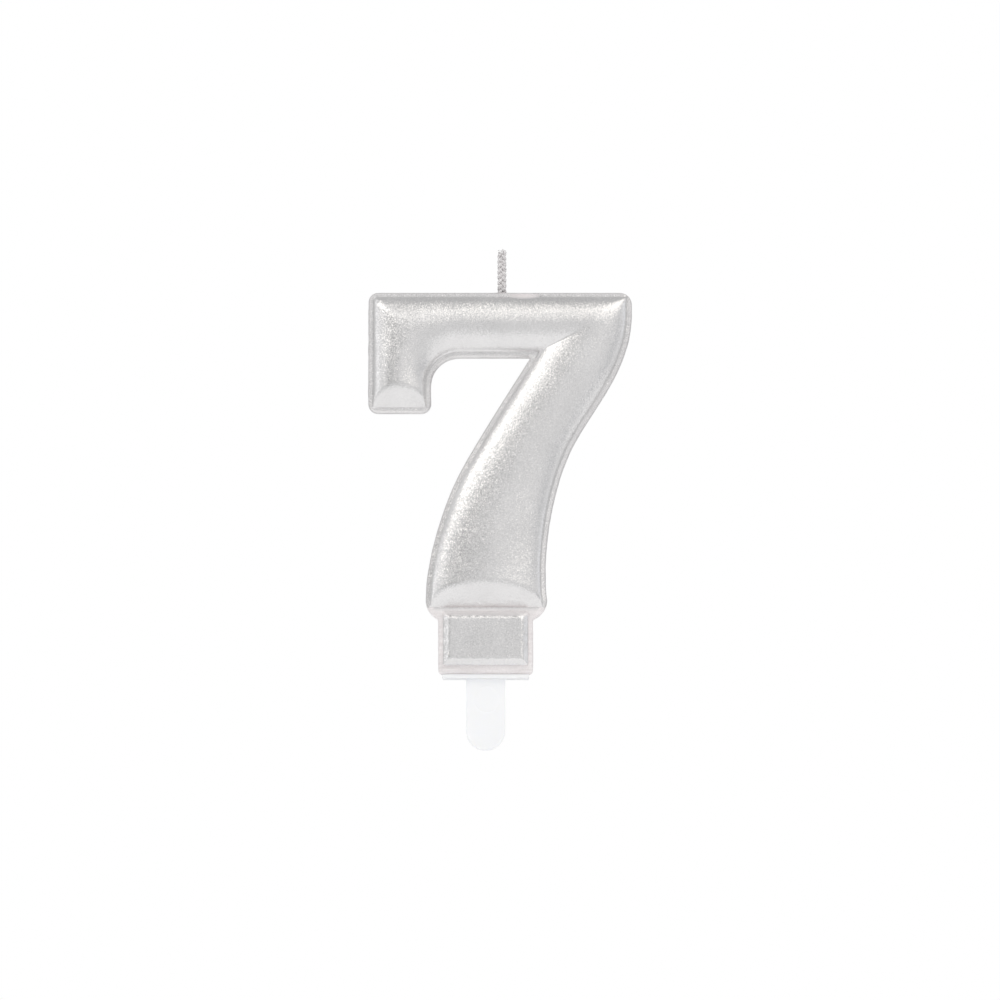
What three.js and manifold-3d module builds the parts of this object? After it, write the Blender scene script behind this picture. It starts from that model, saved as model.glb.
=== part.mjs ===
// A number birthday candle: a silver wax numeral 7 with a block foot, a braided wick, and a white
// plastic pick that holds the candle in a cake.
//
// Millimetres, +Z up. The numeral faces -Y. The origin is on the pick's centre line, on the
// underside of its plate, which is where the surface of the cake comes.

import * as THREE from 'three';
import * as BufferGeometryUtils from 'three/addons/utils/BufferGeometryUtils.js';
import Module from 'manifold-3d';

// ---- Driving dimensions -------------------------------------------------------------------

const CLEARANCE = 0.3;             // gap kept between separate pieces
const CUT_MARGIN = 1;              // how far a cutting solid starts outside what it cuts

// Pick: a plate with a blade below it and a tongue above it
const PICK_THICKNESS = 1.5;
const PICK_EDGE_BEVEL = 0.25;
const PLATE_WIDTH = 17.3;
const PLATE_DEPTH = 4;
const PLATE_THICKNESS = 0.5;
const BLADE_WIDTH = 7.8;
const BLADE_LENGTH = 14.3;
const BLADE_END_LENGTH = 4.1;      // height of the rounded end
const TONGUE_WIDTH = 5.8;
const TONGUE_LENGTH = 12;
const BARB_COUNT = 3;
const BARB_HEIGHT = 0.35;          // how far each barb stands out of the tongue's side
const BARB_PITCH = 2.6;
const FIRST_BARB_Z = 4;

// Wax numeral: the flange outline
const FOOT_BOTTOM = PLATE_THICKNESS + CLEARANCE;
const FOOT_WIDTH = 19;
const FOOT_CORNER_RADIUS = 1;
const FOOT_TOP = 11.8;             // where the foot's sides run into the stem's corners
const STEM_BOTTOM = 13.2;
const TOP = 77.95;
const LEFT = -23.6;
const SERIF_RIGHT = -10.9;
const SERIF_BOTTOM = 53.45;
const BAR_BOTTOM = 64.7;
const INNER_ARC_RADIUS = 5.6;      // the concave bend between the serif and the bar
const CORNER_RADIUS = 2;
const TOP_RIGHT_RADIUS = 2.5;

// Wax numeral: thicknesses, measured from front to back
const FLANGE_THICKNESS = 3;
const FLANGE_BEVEL = 0.4;
const LEDGE = 0.95;                // width of flange left bare round the crowned strokes
const CROWN_RISE = 3.9;            // how far the strokes stand above each face of the flange
const CROWN_RUN = 5.2;             // how far in from its foot the crown keeps rising
const CROWN_STEPS = 6;
const CROWN_MARGIN = 0.5;          // kept between the crowns of the stem's sides and of its ends
const BAR_END_SHARE = 0.27;        // how far down the stem's upper right curve the bar reaches
const FOOT_FACE_RISE = 1.7;
const FOOT_FACE_BEVEL = 1.2;
const FOOT_BOTTOM_LEDGE = 1.6;

// Wick
const WICK_X = 3.2;
const WICK_RADIUS = 0.85;
const WICK_SIDES = 12;
const WICK_BEND_HEIGHT = 0.95;     // height of the bending point above the numeral's top
const WICK_FREE_LENGTH = 9.05;
const WICK_BUTT_STEPS = 4;
const WICK_PATH_STEPS = 28;
const WICK_PATH_SIDES = 8;
const WICK_ROUTE = [               // x, z: from under the numeral's top to the end near the foot
  [3.4, 74.95],
  [8.5, 70],
  [14.5, 63],
  [5.8, 42],
  [0.4, 25],
  [0, 17],
];

// Stem edges, as two cubic curves each, from the top down: [end, handle, handle, end]
const STEM_LEFT_CURVES = [
  [[8.9, 64.7], [5.5, 59.2], [-1.55, 48.3], [-4.9, 42]],
  [[-4.9, 42], [-8.6, 35.1], [-12, 23.7], [-12, 16]],
];
const STEM_RIGHT_CURVES = [
  [[29.4, 74], [29.4, 61.2], [20.2, 53.7], [16.3, 44]],
  [[16.3, 44], [13, 35.9], [11.3, 24.4], [12.3, 15.8]],
];
const CURVE_STEPS = 8;

const wasm = await Module();
wasm.setup();

// ---- Solids -------------------------------------------------------------------------------

function toSolid(geometry) {
  const bare = geometry.index ? geometry.toNonIndexed() : geometry.clone();
  bare.deleteAttribute('normal');
  bare.deleteAttribute('uv');
  const merged = BufferGeometryUtils.mergeVertices(bare, 1e-4);
  const mesh = new wasm.Mesh({
    numProp: 3,
    vertProperties: new Float32Array(merged.attributes.position.array),
    triVerts: new Uint32Array(merged.index.array),
  });
  return new wasm.Manifold(mesh);
}

function toGeometry(solid) {
  const mesh = solid.getMesh();
  const geometry = new THREE.BufferGeometry();
  geometry.setAttribute('position', new THREE.BufferAttribute(mesh.vertProperties, 3));
  geometry.setIndex(new THREE.BufferAttribute(mesh.triVerts, 1));
  geometry.computeVertexNormals();
  return geometry;
}

// Extrudes an outline drawn in X and Z symmetrically about the plane Y = 0. The bevels are part
// of the thickness, and start `inset` inside the outline.
function slab(shape, thickness, { bevelRise = 0, bevelRun = 0, inset = 0, steps = 1 } = {}) {
  const core = thickness - 2 * bevelRise;
  const geometry = new THREE.ExtrudeGeometry(shape, {
    depth: core,
    curveSegments: CURVE_STEPS,
    bevelEnabled: true,
    bevelThickness: bevelRise,
    bevelSize: bevelRun,
    bevelOffset: -bevelRun - inset,
    bevelSegments: steps,
  });
  geometry.rotateX(Math.PI / 2);
  geometry.translate(0, core / 2, 0);
  return toSolid(geometry);
}

// ---- Outlines -----------------------------------------------------------------------------

function followDown(path, curves) {
  for (const [, near, far, end] of curves) {
    path.bezierCurveTo(...near, ...far, ...end);
  }
}

function followUp(path, curves) {
  for (const [end, far, near] of [...curves].reverse()) {
    path.bezierCurveTo(...near, ...far, ...end);
  }
}

function toCurve(ends) {
  return new THREE.CubicBezierCurve(...ends.map((point) => new THREE.Vector2(...point)));
}

// The whole numeral with its foot, as the flange shows it, clockwise from the top left corner
function flangeOutline() {
  const halfFoot = FOOT_WIDTH / 2;
  const stemRight = STEM_RIGHT_CURVES[1][3];
  const stemLeft = STEM_LEFT_CURVES[1][3];
  const topRight = STEM_RIGHT_CURVES[0][0][0];
  const quarter = Math.PI / 2;
  const footArcX = halfFoot - FOOT_CORNER_RADIUS;
  const footArcZ = FOOT_BOTTOM + FOOT_CORNER_RADIUS;
  const bendX = SERIF_RIGHT + INNER_ARC_RADIUS;
  const bendZ = BAR_BOTTOM - INNER_ARC_RADIUS;
  const leftArcX = LEFT + CORNER_RADIUS;
  const lowZ = SERIF_BOTTOM + CORNER_RADIUS;
  const outline = new THREE.Shape();
  outline.moveTo(leftArcX, TOP);
  outline.absarc(topRight - TOP_RIGHT_RADIUS, TOP - TOP_RIGHT_RADIUS, TOP_RIGHT_RADIUS, quarter, 0, true);
  outline.lineTo(...STEM_RIGHT_CURVES[0][0]);
  followDown(outline, STEM_RIGHT_CURVES);
  outline.quadraticCurveTo(stemRight[0], STEM_BOTTOM, halfFoot, FOOT_TOP);
  outline.absarc(footArcX, footArcZ, FOOT_CORNER_RADIUS, 0, -quarter, true);
  outline.absarc(-footArcX, footArcZ, FOOT_CORNER_RADIUS, -quarter, -2 * quarter, true);
  outline.lineTo(-halfFoot, FOOT_TOP);
  outline.quadraticCurveTo(stemLeft[0], STEM_BOTTOM, ...stemLeft);
  followUp(outline, STEM_LEFT_CURVES);
  outline.lineTo(bendX, BAR_BOTTOM);
  outline.absarc(bendX, bendZ, INNER_ARC_RADIUS, quarter, 2 * quarter, false);
  outline.absarc(SERIF_RIGHT - CORNER_RADIUS, lowZ, CORNER_RADIUS, 0, -quarter, true);
  outline.absarc(leftArcX, lowZ, CORNER_RADIUS, -quarter, -2 * quarter, true);
  outline.absarc(leftArcX, TOP - CORNER_RADIUS, CORNER_RADIUS, -2 * quarter, -3 * quarter, true);
  return outline;
}

// The horizontal stroke and the serif that hangs from its left end, with sharp corners
function barOutline() {
  const [topRight] = STEM_RIGHT_CURVES[0];
  const lowRight = toCurve(STEM_RIGHT_CURVES[0]).getPoint(BAR_END_SHARE);
  const bendX = SERIF_RIGHT + INNER_ARC_RADIUS;
  const bendZ = BAR_BOTTOM - INNER_ARC_RADIUS;
  const outline = new THREE.Shape();
  outline.moveTo(LEFT, TOP);
  outline.lineTo(topRight[0], TOP);
  outline.lineTo(lowRight.x, BAR_BOTTOM);
  outline.lineTo(bendX, BAR_BOTTOM);
  outline.absarc(bendX, bendZ, INNER_ARC_RADIUS, Math.PI / 2, Math.PI, false);
  outline.lineTo(SERIF_RIGHT, SERIF_BOTTOM);
  outline.lineTo(LEFT, SERIF_BOTTOM);
  return outline;
}

// Points down an edge of the stem, leaving out those so near its ends that the crown has not yet
// risen to its full height between them and the corner
function stemEdge(curves) {
  const reach = LEDGE + CROWN_RUN + CROWN_MARGIN;
  const points = curves.flatMap((ends) => toCurve(ends).getPoints(CURVE_STEPS));
  return points.filter(({ y }) => y > STEM_BOTTOM + reach && y < TOP - reach);
}

// The curved stroke, whose left edge runs on straight to the top of the numeral
function stemOutline() {
  const [start, handle] = STEM_LEFT_CURVES[0];
  const lean = (start[0] - handle[0]) / (start[1] - handle[1]);
  const outline = new THREE.Shape();
  outline.moveTo(start[0] + lean * (TOP - start[1]), TOP);
  outline.lineTo(STEM_RIGHT_CURVES[0][0][0], TOP);
  for (const point of stemEdge(STEM_RIGHT_CURVES)) {
    outline.lineTo(point.x, point.y);
  }
  outline.lineTo(STEM_RIGHT_CURVES[1][3][0], STEM_BOTTOM);
  outline.lineTo(STEM_LEFT_CURVES[1][3][0], STEM_BOTTOM);
  for (const point of stemEdge(STEM_LEFT_CURVES).reverse()) {
    outline.lineTo(point.x, point.y);
  }
  return outline;
}

// ---- Wax numeral --------------------------------------------------------------------------

function crownedStroke(outline) {
  return slab(outline, FLANGE_THICKNESS + 2 * CROWN_RISE, {
    bevelRise: CROWN_RISE,
    bevelRun: CROWN_RUN,
    inset: LEDGE,
    steps: CROWN_STEPS,
  });
}

function footBlock() {
  const half = FOOT_WIDTH / 2 - LEDGE;
  const low = FOOT_BOTTOM + FOOT_BOTTOM_LEDGE;
  const outline = new THREE.Shape();
  outline.moveTo(-half, low);
  outline.lineTo(half, low);
  outline.lineTo(half, STEM_BOTTOM);
  outline.lineTo(-half, STEM_BOTTOM);
  return slab(outline, FLANGE_THICKNESS + 2 * FOOT_FACE_RISE, {
    bevelRise: FOOT_FACE_BEVEL,
    bevelRun: FOOT_FACE_BEVEL,
  });
}

function tongueSlot() {
  const half = TONGUE_WIDTH / 2 + BARB_HEIGHT + CLEARANCE;
  const bottom = FOOT_BOTTOM - CUT_MARGIN;
  const top = PLATE_THICKNESS + TONGUE_LENGTH + CLEARANCE;
  const box = new THREE.BoxGeometry(2 * half, PICK_THICKNESS + 2 * CLEARANCE, top - bottom);
  box.translate(0, 0, (top + bottom) / 2);
  return toSolid(box);
}

// The wick's way through the wax, from a height above the numeral's top: down into the bar, then
// along the middle of the stem
function wickPath(endAbove) {
  const points = [[WICK_X, TOP + endAbove], ...WICK_ROUTE];
  return new THREE.CatmullRomCurve3(
    points.map(([x, z]) => new THREE.Vector3(x, 0, z)),
    false,
    'centripetal',
  );
}

function cordAlong(path, radius) {
  const section = new THREE.Shape();
  for (let side = 0; side < WICK_PATH_SIDES; side += 1) {
    const angle = (2 * Math.PI * side) / WICK_PATH_SIDES;
    const x = radius * Math.cos(angle);
    const y = radius * Math.sin(angle);
    if (side === 0) section.moveTo(x, y);
    else section.lineTo(x, y);
  }
  return toSolid(new THREE.ExtrudeGeometry(section, {
    steps: WICK_PATH_STEPS,
    extrudePath: path,
  }));
}

function waxNumeral() {
  const rounding = { bevelRise: FLANGE_BEVEL, bevelRun: FLANGE_BEVEL };
  const flange = slab(flangeOutline(), FLANGE_THICKNESS, rounding);
  const wickChannel = cordAlong(wickPath(CUT_MARGIN), WICK_RADIUS + CLEARANCE);
  return flange
    .add(crownedStroke(barOutline()))
    .add(crownedStroke(stemOutline()))
    .add(footBlock())
    .subtract(tongueSlot())
    .subtract(wickChannel);
}

// ---- Wick ---------------------------------------------------------------------------------

// Ends a clearance below the round butt of the free end
function embeddedWick() {
  return cordAlong(wickPath(WICK_BEND_HEIGHT - WICK_RADIUS - CLEARANCE), WICK_RADIUS);
}

// The free end turns about the centre of its round butt
function freeWick() {
  const profile = [];
  for (let step = 0; step <= WICK_BUTT_STEPS; step += 1) {
    const angle = (Math.PI / 2) * (step / WICK_BUTT_STEPS);
    profile.push(new THREE.Vector2(WICK_RADIUS * Math.sin(angle), -WICK_RADIUS * Math.cos(angle)));
  }
  const length = WICK_FREE_LENGTH - WICK_BEND_HEIGHT;
  profile.push(new THREE.Vector2(WICK_RADIUS, length));
  profile.push(new THREE.Vector2(0, length));
  const geometry = new THREE.LatheGeometry(profile, WICK_SIDES);
  geometry.rotateX(Math.PI / 2);
  return toSolid(geometry);
}

// ---- Pick ---------------------------------------------------------------------------------

function bladeOutline() {
  const half = BLADE_WIDTH / 2;
  const shoulder = -BLADE_LENGTH + BLADE_END_LENGTH;
  const outline = new THREE.Shape();
  outline.moveTo(half, PLATE_THICKNESS / 2);
  outline.lineTo(half, shoulder);
  outline.absellipse(0, shoulder, half, BLADE_END_LENGTH, 0, -Math.PI, true, 0);
  outline.lineTo(-half, PLATE_THICKNESS / 2);
  return outline;
}

function tongueOutline() {
  const half = TONGUE_WIDTH / 2;
  const top = PLATE_THICKNESS + TONGUE_LENGTH;
  const side = [[half, PLATE_THICKNESS / 2]];
  for (let barb = 0; barb < BARB_COUNT; barb += 1) {
    const z = FIRST_BARB_Z + barb * BARB_PITCH;
    side.push([half, z], [half + BARB_HEIGHT, z], [half, z + BARB_PITCH / 2]);
  }
  side.push([half, top - half / 2], [half / 2, top]);
  const outline = new THREE.Shape();
  outline.moveTo(...side[0]);
  for (const point of side.slice(1)) {
    outline.lineTo(...point);
  }
  for (const [x, z] of [...side].reverse()) {
    outline.lineTo(-x, z);
  }
  return outline;
}

function pick() {
  const plate = new THREE.BoxGeometry(PLATE_WIDTH, PLATE_DEPTH, PLATE_THICKNESS);
  plate.translate(0, 0, PLATE_THICKNESS / 2);
  const rounding = { bevelRise: PICK_EDGE_BEVEL, bevelRun: PICK_EDGE_BEVEL };
  const blade = slab(bladeOutline(), PICK_THICKNESS, rounding);
  const tongue = slab(tongueOutline(), PICK_THICKNESS);
  return toSolid(plate).add(blade).add(tongue);
}

// ---- Assembly -----------------------------------------------------------------------------

function part(name, solid, finish) {
  const mesh = new THREE.Mesh(toGeometry(solid), new THREE.MeshStandardMaterial(finish));
  mesh.name = name;
  return mesh;
}

const silverLacquer = { color: 0xc6c6c4, roughness: 0.4, metalness: 0.85 };
const silverCord = { color: 0xa9a8a6, roughness: 0.7, metalness: 0.4 };
const plainCord = { color: 0xe8e4da, roughness: 0.9, metalness: 0 };
const whitePlastic = { color: 0xf3f5f9, roughness: 0.35, metalness: 0 };

const candle = new THREE.Group();
candle.add(part('wax_numeral', waxNumeral(), silverLacquer));
candle.add(part('wick_embedded', embeddedWick(), plainCord));

const wickTip = part('wick_tip', freeWick(), silverCord);
wickTip.position.set(WICK_X, 0, TOP + WICK_BEND_HEIGHT);
candle.add(wickTip);

const numberCandle = new THREE.Group();
numberCandle.add(candle);
numberCandle.add(part('pick', pick(), whitePlastic));

export default numberCandle;
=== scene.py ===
"""Looks of a number birthday candle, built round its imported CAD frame.

Three pieces: the silver-lacquered wax numeral with its foot, the braided wick and the white
plastic pick. Shapes are worked out in millimetres and turned into metres when a mesh is made.
The numeral faces -Y, +X is to the reader's right and +Z is up.
"""

import math
from collections import Counter

import bmesh
import bpy
import numpy as np
from mathutils import Matrix, Vector
from mathutils.geometry import delaunay_2d_cdt
from mathutils.kdtree import KDTree


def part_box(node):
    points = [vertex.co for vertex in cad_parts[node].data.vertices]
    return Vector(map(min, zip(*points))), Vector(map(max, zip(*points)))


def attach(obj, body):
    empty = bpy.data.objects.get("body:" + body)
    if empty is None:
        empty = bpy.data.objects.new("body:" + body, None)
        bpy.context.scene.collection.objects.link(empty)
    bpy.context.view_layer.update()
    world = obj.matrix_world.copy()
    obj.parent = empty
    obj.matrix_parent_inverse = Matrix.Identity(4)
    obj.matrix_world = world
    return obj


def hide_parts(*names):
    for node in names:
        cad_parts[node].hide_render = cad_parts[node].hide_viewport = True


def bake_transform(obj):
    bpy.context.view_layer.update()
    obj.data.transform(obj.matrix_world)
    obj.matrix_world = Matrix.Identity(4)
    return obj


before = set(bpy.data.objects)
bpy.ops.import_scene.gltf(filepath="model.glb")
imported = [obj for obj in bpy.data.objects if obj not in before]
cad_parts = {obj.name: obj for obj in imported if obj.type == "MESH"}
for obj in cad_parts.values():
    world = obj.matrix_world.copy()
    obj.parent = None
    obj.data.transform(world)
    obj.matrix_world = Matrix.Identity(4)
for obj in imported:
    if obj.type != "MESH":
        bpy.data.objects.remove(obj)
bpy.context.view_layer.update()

MM = 0.001


def box_mm(node):
    """Lowest and highest corner of a CAD node, in millimetres."""
    low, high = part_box(node)
    return np.array(low) / MM, np.array(high) / MM


# ---- Driving dimensions (mm), the CAD's own where it has them ------------------------------

WAX_LOW, WAX_HIGH = box_mm("wax_numeral")
PICK_LOW, PICK_HIGH = box_mm("pick")
WICK_LOW, WICK_HIGH = box_mm("wick_tip")

LEFT, RIGHT, TOP, FOOT_BOTTOM = WAX_LOW[0], WAX_HIGH[0], WAX_HIGH[2], WAX_LOW[2]
HALF_DEPTH = WAX_HIGH[1]
SERIF_RIGHT = -10.9
SERIF_BOTTOM = 53.45
BAR_BOTTOM = 64.7
STEM_BOTTOM = 13.2
FOOT_HALF_WIDTH = 9.5
FOOT_TOP = 11.8
FOOT_CORNER = 1.0
INNER_ARC = 5.6
CORNER = 2.0
TOP_RIGHT_CORNER = 2.5
STEM_LEFT = [
    [(8.9, 64.7), (5.5, 59.2), (-1.55, 48.3), (-4.9, 42)],
    [(-4.9, 42), (-8.6, 35.1), (-12, 23.7), (-12, 16)],
]
STEM_RIGHT = [
    [(29.4, 74), (29.4, 61.2), (20.2, 53.7), (16.3, 44)],
    [(16.3, 44), (13, 35.9), (11.3, 24.4), (12.3, 15.8)],
]

FLANGE_HALF = 1.5            # the flange's front face stands this far from the parting plane
EDGE_DROP = 0.5              # chamfer of the flange's edge: how far it falls, over what width
EDGE_RUN = 0.2
PLATE_EDGE_DROP = 0.2 * EDGE_DROP  # the foot's bottom edge, next to the plate, stays nearly square
LEDGE_DRAFT = 0.18           # slope of the bare flange, outwards, along the stem
DRAFT_FADE = 6               # height over which the slope sets in, below the serif
LEDGE_WAVE = (1.5, 0.008)    # wavelength and height of the flange's unevenness
LEDGE = 0.95                 # flange left bare round the crowned strokes
SEAM = 0.08                  # height of the fin left by the mould's parting line
CROWN = HALF_DEPTH - FLANGE_HALF
CROWN_FILL = 0.985           # share of it that the strokes reach before they are made uneven
ARCH_POWER = 1.47            # the crown's section: how soon it levels off
ARCH_ROOT = 0.415            # and how upright its wall is
HIP = 0.66                   # how softly the slopes meet at the top right corner
CORNER_HIP = 1.6             # and at the top left corner
CREASE = 0.12                # and where the stem meets the bar
TOP_RUN = 6.5                # from the wall along the top to where the stem's crest is level
SERIF_FACET = (0.3, 1.0)     # the plain bevelled end: its upright step, and its rise per mm
STEM_FACET = (0.2, 0.85)
STEP_RUN = 0.12              # width of the upright step
FACET_BLEND = 1.3            # how softly the end meets the crown
SLOW_WAVE = (10, 0.02)       # the faces' unevenness
QUICK_WAVE = (2.4, 0.001)
NIB_COUNT = 24
NIB_SIZES = (0.16, 0.34)
NIB_HEIGHTS = [0.03, 0.02, -0.02, -0.03]
FOOT_RISE = 1.7              # the foot's face above the flange
FOOT_WALL = 0.5              # its upright part, below the bevel
FOOT_WALL_RUN = 0.05
FOOT_BEVEL = 1.05            # rise of the bevel per mm
FOOT_ROUNDING = 0.5
FOOT_WAVE = (1.6, 0.045)     # the bevel's unevenness, and the width over which it sets in
FOOT_WAVE_RUN = 0.3
FOOT_LEDGE = 1.6             # flange left bare under the foot's face
FOOT_FACE_TOP = STEM_BOTTOM + 0.15
TRIM_CENTRE = (7.6, TOP - 0.9)     # where the casting sprue was trimmed off
TRIM_HALF_SIZE = (3.4, 0.8)
TRIM_DEPTH = 0.25

OUTLINE_STEP = 0.3           # spacing of the mesh's points
GRID = 0.26
FINE_GRID = 0.13
ROW_CLEARANCE = 0.09         # loose points nearer than this to a row are left out
EDGE_ROWS = (0.02, 0.07, 0.14, 0.24, 0.38, 0.6)                   # depths in from the outline,
WALL_ROWS = (-0.03, 0.03, 0.09, 0.18, 0.3, 0.46, 0.66, 0.9)       # from the foot of the wall,
FACET_ROWS = (-0.03, 0.03, 0.12, 0.26, 0.4)                       # up the stem's bevelled end
FOOT_ROWS = (-0.03, 0.02, 0.06, 0.12, 0.24)                       # and into the foot's face
WALL_ROW_GAP = 2.2           # the wall's rows stop this far from the inner corner
RIM_RINGS = [(-0.8, 0), (-0.43, 0), (-0.14, 0), (-0.05, 1), (0.05, 1), (0.14, 0), (0.43, 0), (0.8, 0)]

PICK_HALF = 0.75             # half the pick's thickness
PICK_BEVEL = 0.28
PICK_STEP = 0.22
PICK_GRID = 0.34
PICK_ROW_CLEARANCE = 0.12
PICK_ROWS = (0.04, 0.1, 0.19, PICK_BEVEL)
PICK_WAVE = (5, 0.006)
BLADE_HALF = 3.9
BLADE_END = 4.1              # length of the blade's rounded end
PLATE_HALF = PICK_HIGH[0]
PLATE_HALF_DEPTH = PICK_HIGH[1]
PLATE_TOP = FOOT_BOTTOM - 0.04     # the foot all but rests on the plate
PLATE_END_ROUND = 0.4        # rounding of the plate's ends seen from the front, and from above
PLATE_CORNER = 0.7
PLATE_EDGE = 0.12
TONGUE_HALF = 2.9
BARB = 0.35
BARB_PITCH = 2.6
FIRST_BARB = 4.0
BARB_COUNT = 3
SLOT_GAP = 0.3
EJECTOR_CENTRE = (0.25, -4.1)
EJECTOR_RADIUS = 2.6
EJECTOR_ROWS = (-0.22, -0.1, 0, 0.1, 0.22)
EJECTOR_GROOVE = (0.11, 0.035)     # width and depth of the ring that the pin left
EJECTOR_SINK = 0.012

WICK_CENTRE = (WICK_LOW[0] + WICK_HIGH[0]) / 2 + 0.05
WICK_TOP = WICK_HIGH[2]
MOUND_RADIUS = 1.0           # the lacquer gathered round the wick's foot
MOUND_HEIGHT = 0.35
PLAIT_HALF_WIDTH = 0.52
PLAIT_HALF_DEPTH = 0.30
PLAIT_PITCH = 3.3
STRAND_TOPS = (WICK_TOP - 0.75, WICK_TOP - 0.05, WICK_TOP - 0.4)
WICK_ROOT = 1.5              # how far the modelled wick goes down into the wax
YARNS = 5                    # yarns in each strand, how fast they turn, and how far out they lie
YARN_PITCH = 2.1
YARN_SPREAD = 0.23
YARN_RADIUS = 0.19
FRAY = 0.9                   # length of the frayed end
HAIRS = 150
HAIR_RADII = (0.022, 0.008)
GRAINS = 420                 # glitter on the cord
GRAIN_HALF_THICKNESS = 0.012

FLAKE = 0.105                # size of a metal flake in the lacquer
CALM_TILT = 0.22             # how far every flake may be tipped
WILD_TILT = 0.12             # and how much more a few are
THIN_LACQUER = 0.65          # share of metal missing where the lacquer is thinnest
THIN_FRONT = 0.35            # it is thin on the flange, up to this far in front of it,
THIN_EDGE = 0.3              # within this far of the flange's edge, and there by this much,
THIN_EDGE_SHARE = 0.3
THIN_FOOT_TOP = 0.9          # and within this far of the top of the foot's face
THIN_FADE = 0.2


# ---- Curves and distances --------------------------------------------------------------------

def cubic(ends, count=40):
    """Points on a Bezier curve with two handles."""
    t = np.linspace(0, 1, count + 1)[:, None]
    a, b, c, d = (np.array(p, float) for p in ends)
    return (1 - t) ** 3 * a + 3 * (1 - t) ** 2 * t * b + 3 * (1 - t) * t * t * c + t ** 3 * d


def conic(a, b, c, count=12):
    """Points on a Bezier curve with one handle."""
    t = np.linspace(0, 1, count + 1)[:, None]
    a, b, c = (np.array(p, float) for p in (a, b, c))
    return (1 - t) ** 2 * a + 2 * (1 - t) * t * b + t * t * c


def arc(centre, radius, start, end, count=16):
    """Points on an arc; the angles are in quarter turns from +X."""
    angle = np.linspace(start, end, count + 1) * math.pi / 2
    return np.array(centre) + radius * np.stack([np.cos(angle), np.sin(angle)], 1)


def resample(line, step, closed=True):
    """Evenly spaced points along a line, or round a closed one."""
    if closed:
        line = np.vstack([line, line[:1]])
    run = np.concatenate([[0], np.cumsum(np.linalg.norm(np.diff(line, axis=0), axis=1))])
    count = int(run[-1] / step)
    at = np.arange(count + (not closed)) * run[-1] / count
    return np.stack([np.interp(at, run, line[:, k]) for k in (0, 1)], 1)


def inward_normals(loop):
    """Unit normals of a clockwise closed line, pointing to its inside."""
    along = np.roll(loop, -1, 0) - np.roll(loop, 1, 0)
    along /= np.linalg.norm(along, axis=1)[:, None]
    return np.stack([along[:, 1], -along[:, 0]], 1)


def inset(loop, distance):
    """A clockwise closed line moved inwards."""
    return loop + distance * inward_normals(loop)


def line_distance(points, line, closed=False):
    """Distance of each point from a finely divided line: exact to the pieces that meet at the
    nearest of the line's points."""
    tree = KDTree(len(line))
    for index, (x, z) in enumerate(line):
        tree.insert((x, z, 0), index)
    tree.balance()
    nearest = np.array([tree.find((x, z, 0))[1] for x, z in points])
    distance = np.full(len(points), np.inf)
    for shift in (0, 1):
        first, second = nearest - shift, nearest - shift + 1
        if closed:
            first, second = first % len(line), second % len(line)
        else:
            first, second = np.clip(first, 0, len(line) - 2), np.clip(second, 1, len(line) - 1)
        span = line[second] - line[first]
        offset = points - line[first]
        share = np.clip((offset * span).sum(1) / np.maximum((span ** 2).sum(1), 1e-12), 0, 1)
        distance = np.minimum(distance, np.linalg.norm(offset - share[:, None] * span, axis=1))
    return distance


def inside(points, loop):
    """Whether each point is inside a closed line."""
    x, z = points[:, 0], points[:, 1]
    odd = np.zeros(len(points), bool)
    for (x0, z0), (x1, z1) in zip(loop, np.roll(loop, -1, 0)):
        if z0 == z1:
            continue
        crosses = (z0 > z) != (z1 > z)
        odd ^= crosses & (x < (x1 - x0) * (z - z0) / (z1 - z0) + x0)
    return odd


def smooth_min(a, b, width):
    """The smaller of two surfaces, rounded where they cross."""
    blend = np.maximum(width - np.abs(a - b), 0) / width
    return np.minimum(a, b) - blend ** 2 * width / 4


def smooth_max(a, b, width):
    """The larger of two surfaces, rounded where they cross."""
    return -smooth_min(-a, -b, width)


def waves(points, wavelength, seed, count=14):
    """Smooth noise of one scale, about -1 to 1, from plane waves in random directions."""
    random = np.random.default_rng(seed)
    total = np.zeros(len(points))
    for _ in range(count):
        direction = random.normal(size=points.shape[1])
        direction *= 2 * math.pi / (wavelength * np.linalg.norm(direction))
        total += np.cos(points @ (direction * random.uniform(0.7, 1.4)) + random.uniform(0, 2 * math.pi))
    return total / math.sqrt(count)


# ---- The numeral's plan ------------------------------------------------------------------------

def numeral_outline():
    """The flange's outline, clockwise from the top left corner."""
    bend = (SERIF_RIGHT + INNER_ARC, BAR_BOTTOM - INNER_ARC)
    foot_z = FOOT_BOTTOM + FOOT_CORNER
    foot_x = FOOT_HALF_WIDTH - FOOT_CORNER
    serif_z = SERIF_BOTTOM + CORNER
    right_end = STEM_RIGHT[1][3]
    left_end = STEM_LEFT[1][3]
    parts = [
        arc((LEFT + CORNER, TOP - CORNER), CORNER, 2, 1),
        arc((RIGHT - TOP_RIGHT_CORNER, TOP - TOP_RIGHT_CORNER), TOP_RIGHT_CORNER, 1, 0),
        cubic(STEM_RIGHT[0]),
        cubic(STEM_RIGHT[1]),
        conic(right_end, (right_end[0], STEM_BOTTOM), (FOOT_HALF_WIDTH, FOOT_TOP)),
        arc((foot_x, foot_z), FOOT_CORNER, 0, -1),
        arc((-foot_x, foot_z), FOOT_CORNER, -1, -2),
        conic((-FOOT_HALF_WIDTH, FOOT_TOP), (left_end[0], STEM_BOTTOM), left_end),
        cubic(STEM_LEFT[1])[::-1],
        cubic(STEM_LEFT[0])[::-1],
        arc(bend, INNER_ARC, 1, 2),
        arc((SERIF_RIGHT - CORNER, serif_z), CORNER, 0, -1),
        arc((LEFT + CORNER, serif_z), CORNER, -1, -2),
    ]
    return np.vstack(parts)


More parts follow.
